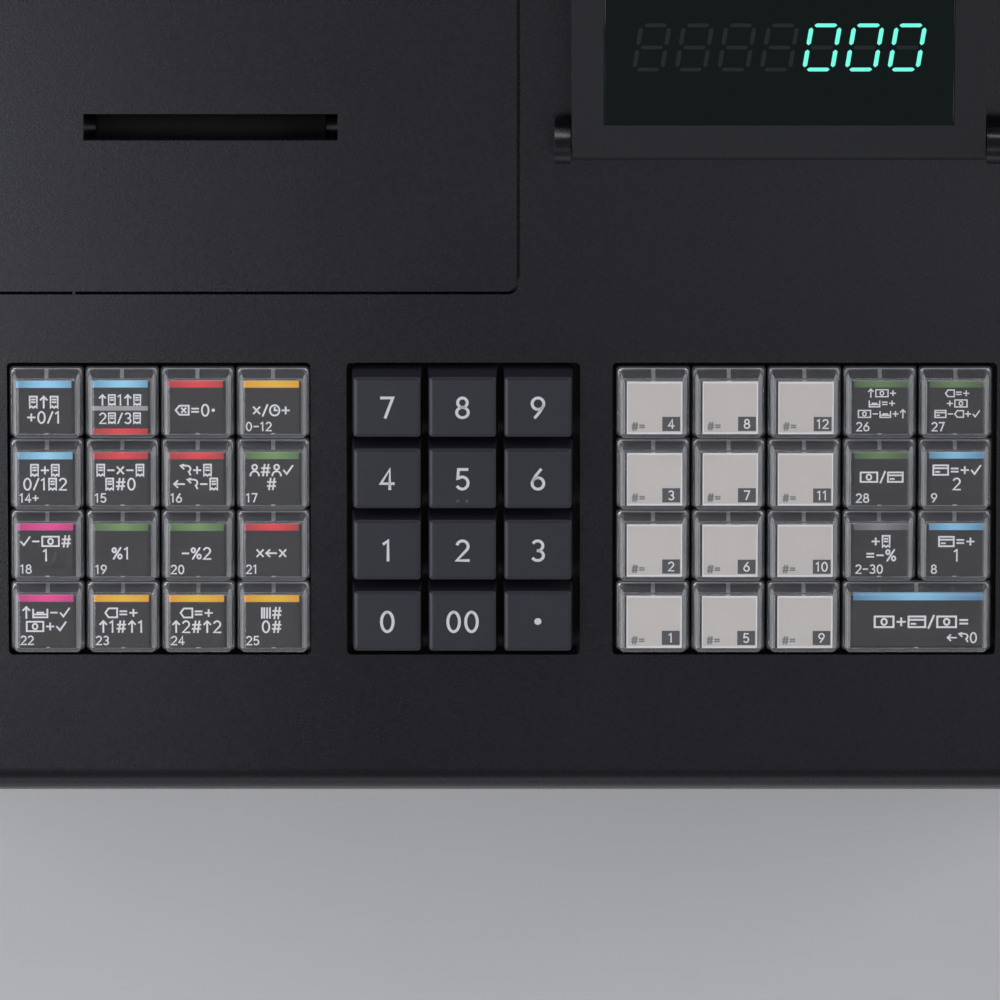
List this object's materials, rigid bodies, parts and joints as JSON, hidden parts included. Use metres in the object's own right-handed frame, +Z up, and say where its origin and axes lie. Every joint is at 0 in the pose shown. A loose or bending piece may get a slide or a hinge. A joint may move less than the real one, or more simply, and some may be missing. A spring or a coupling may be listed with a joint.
{
  "type": "ticket register",
  "caption": "Ticket register: sloping keyboard with clear legend keys and number keys, printer cover, displays and mode lock on a sliding cash drawer.",
  "frame": {"origin": "middle of the footprint, on the counter", "axes": "+Z up, -Y towards the operator, +X to the operator's right"},
  "size_m": [0.34, 0.346, 0.2787],
  "materials": {
    "case_plastic": "fine grained charcoal moulding",
    "frame_plastic": "plain black moulding",
    "dome_rubber": "silicone",
    "roll_paper": "thermal paper",
    "display_plastic": "fine grained charcoal moulding with a dark window",
    "lock_steel": "nickel plate",
    "cabinet_steel": "textured charcoal powder coat",
    "tray_plastic": "black moulding",
    "number_key_plastic": "satin dark grey moulding with white figures",
    "clear_key_plastic": "clear cap over a legend card on a black base"
  },
  "bodies": {
    "register": {"upper_case": "case_plastic", "lower_case": "case_plastic", "key_frame": "frame_plastic", "dome_mat": "dome_rubber", "printer_mechanism": "frame_plastic", "drawer_cabinet": "cabinet_steel"},
    "cash_drawer": {"cash_drawer": "cabinet_steel", "till_tray": "tray_plastic"},
    "printer_cover": {"printer_cover": "case_plastic"},
    "paper_roll": {"paper_roll": "roll_paper"},
    "operator_display": {"operator_display": "display_plastic"},
    "customer_display": {"customer_display": "display_plastic"},
    "mode_key": {"mode_key": "lock_steel"},
    "function_key_1_1": {"function_key_1_1": "clear_key_plastic"},
    "function_key_1_2": {"function_key_1_2": "clear_key_plastic"},
    "function_key_1_3": {"function_key_1_3": "clear_key_plastic"},
    "function_key_1_4": {"function_key_1_4": "clear_key_plastic"},
    "function_key_2_1": {"function_key_2_1": "clear_key_plastic"},
    "function_key_2_2": {"function_key_2_2": "clear_key_plastic"},
    "function_key_2_3": {"function_key_2_3": "clear_key_plastic"},
    "function_key_2_4": {"function_key_2_4": "clear_key_plastic"},
    "function_key_3_1": {"function_key_3_1": "clear_key_plastic"},
    "function_key_3_2": {"function_key_3_2": "clear_key_plastic"},
    "function_key_3_3": {"function_key_3_3": "clear_key_plastic"},
    "function_key_3_4": {"function_key_3_4": "clear_key_plastic"},
    "function_key_4_1": {"function_key_4_1": "clear_key_plastic"},
    "function_key_4_2": {"function_key_4_2": "clear_key_plastic"},
    "function_key_4_3": {"function_key_4_3": "clear_key_plastic"},
    "function_key_4_4": {"function_key_4_4": "clear_key_plastic"},
    "preset_key_4": {"preset_key_4": "clear_key_plastic"},
    "preset_key_8": {"preset_key_8": "clear_key_plastic"},
    "preset_key_12": {"preset_key_12": "clear_key_plastic"},
    "preset_key_3": {"preset_key_3": "clear_key_plastic"},
    "preset_key_7": {"preset_key_7": "clear_key_plastic"},
    "preset_key_11": {"preset_key_11": "clear_key_plastic"},
    "preset_key_2": {"preset_key_2": "clear_key_plastic"},
    "preset_key_6": {"preset_key_6": "clear_key_plastic"},
    "preset_key_10": {"preset_key_10": "clear_key_plastic"},
    "preset_key_1": {"preset_key_1": "clear_key_plastic"},
    "preset_key_5": {"preset_key_5": "clear_key_plastic"},
    "preset_key_9": {"preset_key_9": "clear_key_plastic"},
    "tender_key_1_1": {"tender_key_1_1": "clear_key_plastic"},
    "tender_key_1_2": {"tender_key_1_2": "clear_key_plastic"},
    "tender_key_2_1": {"tender_key_2_1": "clear_key_plastic"},
    "tender_key_2_2": {"tender_key_2_2": "clear_key_plastic"},
    "tender_key_3_1": {"tender_key_3_1": "clear_key_plastic"},
    "tender_key_3_2": {"tender_key_3_2": "clear_key_plastic"},
    "total_key": {"total_key": "clear_key_plastic"},
    "number_key_7": {"number_key_7": "number_key_plastic"},
    "number_key_8": {"number_key_8": "number_key_plastic"},
    "number_key_9": {"number_key_9": "number_key_plastic"},
    "number_key_4": {"number_key_4": "number_key_plastic"},
    "number_key_5": {"number_key_5": "number_key_plastic"},
    "number_key_6": {"number_key_6": "number_key_plastic"},
    "number_key_1": {"number_key_1": "number_key_plastic"},
    "number_key_2": {"number_key_2": "number_key_plastic"},
    "number_key_3": {"number_key_3": "number_key_plastic"},
    "number_key_0": {"number_key_0": "number_key_plastic"},
    "number_key_00": {"number_key_00": "number_key_plastic"},
    "number_key_point": {"number_key_point": "number_key_plastic"}
  },
  "joints": [
    {"name": "drawer_slide", "type": "slide", "parent": "register", "child": "cash_drawer", "axis": [0, -1, 0], "range_m": [0, 0.28]},
    {"name": "printer_cover_hinge", "type": "hinge", "parent": "register", "child": "printer_cover", "pos_m": [-0.0728, 0.07616, 0.21344], "axis": [-1, 0, 0], "range_deg": [0, 110]},
    {"name": "operator_display_tilt", "type": "hinge", "parent": "register", "child": "operator_display", "pos_m": [0.07, -0.00701, 0.19438], "axis": [1, 0, 0], "range_deg": [0, 40]},
    {"name": "customer_display_swivel", "type": "hinge", "parent": "register", "child": "customer_display", "pos_m": [0.096, 0.123, 0.21469], "axis": [0, 0, 1], "range_deg": [-90, 90]},
    {"name": "mode_key_turn", "type": "hinge", "parent": "register", "child": "mode_key", "pos_m": [0.146, -0.00526, 0.1901], "axis": [0, -0.2756, 0.9613], "range_deg": [-35, 140]},
    {"name": "paper_roll_spin", "type": "hinge", "parent": "register", "child": "paper_roll", "pos_m": [-0.0728, 0.04752, 0.16529], "axis": [1, 0, 0], "continuous": true},
    {"name": "function_key_1_1_press", "type": "slide", "parent": "register", "child": "function_key_1_1", "axis": [0, 0.2756, -0.9613], "range_m": [0, 0.003], "stiffness_N_per_m": 200, "springref_m": -0.002, "deforming": ["dome_mat"]},
    {"name": "function_key_1_2_press", "type": "slide", "parent": "register", "child": "function_key_1_2", "axis": [0, 0.2756, -0.9613], "range_m": [0, 0.003], "stiffness_N_per_m": 200, "springref_m": -0.002, "deforming": ["dome_mat"]},
    {"name": "function_key_1_3_press", "type": "slide", "parent": "register", "child": "function_key_1_3", "axis": [0, 0.2756, -0.9613], "range_m": [0, 0.003], "stiffness_N_per_m": 200, "springref_m": -0.002, "deforming": ["dome_mat"]},
    {"name": "function_key_1_4_press", "type": "slide", "parent": "register", "child": "function_key_1_4", "axis": [0, 0.2756, -0.9613], "range_m": [0, 0.003], "stiffness_N_per_m": 200, "springref_m": -0.002, "deforming": ["dome_mat"]},
    {"name": "function_key_2_1_press", "type": "slide", "parent": "register", "child": "function_key_2_1", "axis": [0, 0.2756, -0.9613], "range_m": [0, 0.003], "stiffness_N_per_m": 200, "springref_m": -0.002, "deforming": ["dome_mat"]},
    {"name": "function_key_2_2_press", "type": "slide", "parent": "register", "child": "function_key_2_2", "axis": [0, 0.2756, -0.9613], "range_m": [0, 0.003], "stiffness_N_per_m": 200, "springref_m": -0.002, "deforming": ["dome_mat"]},
    {"name": "function_key_2_3_press", "type": "slide", "parent": "register", "child": "function_key_2_3", "axis": [0, 0.2756, -0.9613], "range_m": [0, 0.003], "stiffness_N_per_m": 200, "springref_m": -0.002, "deforming": ["dome_mat"]},
    {"name": "function_key_2_4_press", "type": "slide", "parent": "register", "child": "function_key_2_4", "axis": [0, 0.2756, -0.9613], "range_m": [0, 0.003], "stiffness_N_per_m": 200, "springref_m": -0.002, "deforming": ["dome_mat"]},
    {"name": "function_key_3_1_press", "type": "slide", "parent": "register", "child": "function_key_3_1", "axis": [0, 0.2756, -0.9613], "range_m": [0, 0.003], "stiffness_N_per_m": 200, "springref_m": -0.002, "deforming": ["dome_mat"]},
    {"name": "function_key_3_2_press", "type": "slide", "parent": "register", "child": "function_key_3_2", "axis": [0, 0.2756, -0.9613], "range_m": [0, 0.003], "stiffness_N_per_m": 200, "springref_m": -0.002, "deforming": ["dome_mat"]},
    {"name": "function_key_3_3_press", "type": "slide", "parent": "register", "child": "function_key_3_3", "axis": [0, 0.2756, -0.9613], "range_m": [0, 0.003], "stiffness_N_per_m": 200, "springref_m": -0.002, "deforming": ["dome_mat"]},
    {"name": "function_key_3_4_press", "type": "slide", "parent": "register", "child": "function_key_3_4", "axis": [0, 0.2756, -0.9613], "range_m": [0, 0.003], "stiffness_N_per_m": 200, "springref_m": -0.002, "deforming": ["dome_mat"]},
    {"name": "function_key_4_1_press", "type": "slide", "parent": "register", "child": "function_key_4_1", "axis": [0, 0.2756, -0.9613], "range_m": [0, 0.003], "stiffness_N_per_m": 200, "springref_m": -0.002, "deforming": ["dome_mat"]},
    {"name": "function_key_4_2_press", "type": "slide", "parent": "register", "child": "function_key_4_2", "axis": [0, 0.2756, -0.9613], "range_m": [0, 0.003], "stiffness_N_per_m": 200, "springref_m": -0.002, "deforming": ["dome_mat"]},
    {"name": "function_key_4_3_press", "type": "slide", "parent": "register", "child": "function_key_4_3", "axis": [0, 0.2756, -0.9613], "range_m": [0, 0.003], "stiffness_N_per_m": 200, "springref_m": -0.002, "deforming": ["dome_mat"]},
    {"name": "function_key_4_4_press", "type": "slide", "parent": "register", "child": "function_key_4_4", "axis": [0, 0.2756, -0.9613], "range_m": [0, 0.003], "stiffness_N_per_m": 200, "springref_m": -0.002, "deforming": ["dome_mat"]},
    {"name": "preset_key_4_press", "type": "slide", "parent": "register", "child": "preset_key_4", "axis": [0, 0.2756, -0.9613], "range_m": [0, 0.003], "stiffness_N_per_m": 200, "springref_m": -0.002, "deforming": ["dome_mat"]},
    {"name": "preset_key_8_press", "type": "slide", "parent": "register", "child": "preset_key_8", "axis": [0, 0.2756, -0.9613], "range_m": [0, 0.003], "stiffness_N_per_m": 200, "springref_m": -0.002, "deforming": ["dome_mat"]},
    {"name": "preset_key_12_press", "type": "slide", "parent": "register", "child": "preset_key_12", "axis": [0, 0.2756, -0.9613], "range_m": [0, 0.003], "stiffness_N_per_m": 200, "springref_m": -0.002, "deforming": ["dome_mat"]},
    {"name": "preset_key_3_press", "type": "slide", "parent": "register", "child": "preset_key_3", "axis": [0, 0.2756, -0.9613], "range_m": [0, 0.003], "stiffness_N_per_m": 200, "springref_m": -0.002, "deforming": ["dome_mat"]},
    {"name": "preset_key_7_press", "type": "slide", "parent": "register", "child": "preset_key_7", "axis": [0, 0.2756, -0.9613], "range_m": [0, 0.003], "stiffness_N_per_m": 200, "springref_m": -0.002, "deforming": ["dome_mat"]},
    {"name": "preset_key_11_press", "type": "slide", "parent": "register", "child": "preset_key_11", "axis": [0, 0.2756, -0.9613], "range_m": [0, 0.003], "stiffness_N_per_m": 200, "springref_m": -0.002, "deforming": ["dome_mat"]},
    {"name": "preset_key_2_press", "type": "slide", "parent": "register", "child": "preset_key_2", "axis": [0, 0.2756, -0.9613], "range_m": [0, 0.003], "stiffness_N_per_m": 200, "springref_m": -0.002, "deforming": ["dome_mat"]},
    {"name": "preset_key_6_press", "type": "slide", "parent": "register", "child": "preset_key_6", "axis": [0, 0.2756, -0.9613], "range_m": [0, 0.003], "stiffness_N_per_m": 200, "springref_m": -0.002, "deforming": ["dome_mat"]},
    {"name": "preset_key_10_press", "type": "slide", "parent": "register", "child": "preset_key_10", "axis": [0, 0.2756, -0.9613], "range_m": [0, 0.003], "stiffness_N_per_m": 200, "springref_m": -0.002, "deforming": ["dome_mat"]},
    {"name": "preset_key_1_press", "type": "slide", "parent": "register", "child": "preset_key_1", "axis": [0, 0.2756, -0.9613], "range_m": [0, 0.003], "stiffness_N_per_m": 200, "springref_m": -0.002, "deforming": ["dome_mat"]},
    {"name": "preset_key_5_press", "type": "slide", "parent": "register", "child": "preset_key_5", "axis": [0, 0.2756, -0.9613], "range_m": [0, 0.003], "stiffness_N_per_m": 200, "springref_m": -0.002, "deforming": ["dome_mat"]},
    {"name": "preset_key_9_press", "type": "slide", "parent": "register", "child": "preset_key_9", "axis": [0, 0.2756, -0.9613], "range_m": [0, 0.003], "stiffness_N_per_m": 200, "springref_m": -0.002, "deforming": ["dome_mat"]},
    {"name": "tender_key_1_1_press", "type": "slide", "parent": "register", "child": "tender_key_1_1", "axis": [0, 0.2756, -0.9613], "range_m": [0, 0.003], "stiffness_N_per_m": 200, "springref_m": -0.002, "deforming": ["dome_mat"]},
    {"name": "tender_key_1_2_press", "type": "slide", "parent": "register", "child": "tender_key_1_2", "axis": [0, 0.2756, -0.9613], "range_m": [0, 0.003], "stiffness_N_per_m": 200, "springref_m": -0.002, "deforming": ["dome_mat"]},
    {"name": "tender_key_2_1_press", "type": "slide", "parent": "register", "child": "tender_key_2_1", "axis": [0, 0.2756, -0.9613], "range_m": [0, 0.003], "stiffness_N_per_m": 200, "springref_m": -0.002, "deforming": ["dome_mat"]},
    {"name": "tender_key_2_2_press", "type": "slide", "parent": "register", "child": "tender_key_2_2", "axis": [0, 0.2756, -0.9613], "range_m": [0, 0.003], "stiffness_N_per_m": 200, "springref_m": -0.002, "deforming": ["dome_mat"]},
    {"name": "tender_key_3_1_press", "type": "slide", "parent": "register", "child": "tender_key_3_1", "axis": [0, 0.2756, -0.9613], "range_m": [0, 0.003], "stiffness_N_per_m": 200, "springref_m": -0.002, "deforming": ["dome_mat"]},
    {"name": "tender_key_3_2_press", "type": "slide", "parent": "register", "child": "tender_key_3_2", "axis": [0, 0.2756, -0.9613], "range_m": [0, 0.003], "stiffness_N_per_m": 200, "springref_m": -0.002, "deforming": ["dome_mat"]},
    {"name": "total_key_press", "type": "slide", "parent": "register", "child": "total_key", "axis": [0, 0.2756, -0.9613], "range_m": [0, 0.003], "stiffness_N_per_m": 240, "springref_m": -0.002, "deforming": ["dome_mat"]},
    {"name": "number_key_7_press", "type": "slide", "parent": "register", "child": "number_key_7", "axis": [0, 0.2756, -0.9613], "range_m": [0, 0.003], "stiffness_N_per_m": 200, "springref_m": -0.002, "deforming": ["dome_mat"]},
    {"name": "number_key_8_press", "type": "slide", "parent": "register", "child": "number_key_8", "axis": [0, 0.2756, -0.9613], "range_m": [0, 0.003], "stiffness_N_per_m": 200, "springref_m": -0.002, "deforming": ["dome_mat"]},
    {"name": "number_key_9_press", "type": "slide", "parent": "register", "child": "number_key_9", "axis": [0, 0.2756, -0.9613], "range_m": [0, 0.003], "stiffness_N_per_m": 200, "springref_m": -0.002, "deforming": ["dome_mat"]},
    {"name": "number_key_4_press", "type": "slide", "parent": "register", "child": "number_key_4", "axis": [0, 0.2756, -0.9613], "range_m": [0, 0.003], "stiffness_N_per_m": 200, "springref_m": -0.002, "deforming": ["dome_mat"]},
    {"name": "number_key_5_press", "type": "slide", "parent": "register", "child": "number_key_5", "axis": [0, 0.2756, -0.9613], "range_m": [0, 0.003], "stiffness_N_per_m": 200, "springref_m": -0.002, "deforming": ["dome_mat"]},
    {"name": "number_key_6_press", "type": "slide", "parent": "register", "child": "number_key_6", "axis": [0, 0.2756, -0.9613], "range_m": [0, 0.003], "stiffness_N_per_m": 200, "springref_m": -0.002, "deforming": ["dome_mat"]},
    {"name": "number_key_1_press", "type": "slide", "parent": "register", "child": "number_key_1", "axis": [0, 0.2756, -0.9613], "range_m": [0, 0.003], "stiffness_N_per_m": 200, "springref_m": -0.002, "deforming": ["dome_mat"]},
    {"name": "number_key_2_press", "type": "slide", "parent": "register", "child": "number_key_2", "axis": [0, 0.2756, -0.9613], "range_m": [0, 0.003], "stiffness_N_per_m": 200, "springref_m": -0.002, "deforming": ["dome_mat"]},
    {"name": "number_key_3_press", "type": "slide", "parent": "register", "child": "number_key_3", "axis": [0, 0.2756, -0.9613], "range_m": [0, 0.003], "stiffness_N_per_m": 200, "springref_m": -0.002, "deforming": ["dome_mat"]},
    {"name": "number_key_0_press", "type": "slide", "parent": "register", "child": "number_key_0", "axis": [0, 0.2756, -0.9613], "range_m": [0, 0.003], "stiffness_N_per_m": 200, "springref_m": -0.002, "deforming": ["dome_mat"]},
    {"name": "number_key_00_press", "type": "slide", "parent": "register", "child": "number_key_00", "axis": [0, 0.2756, -0.9613], "range_m": [0, 0.003], "stiffness_N_per_m": 200, "springref_m": -0.002, "deforming": ["dome_mat"]},
    {"name": "number_key_point_press", "type": "slide", "parent": "register", "child": "number_key_point", "axis": [0, 0.2756, -0.9613], "range_m": [0, 0.003], "stiffness_N_per_m": 200, "springref_m": -0.002, "deforming": ["dome_mat"]}
  ]
}
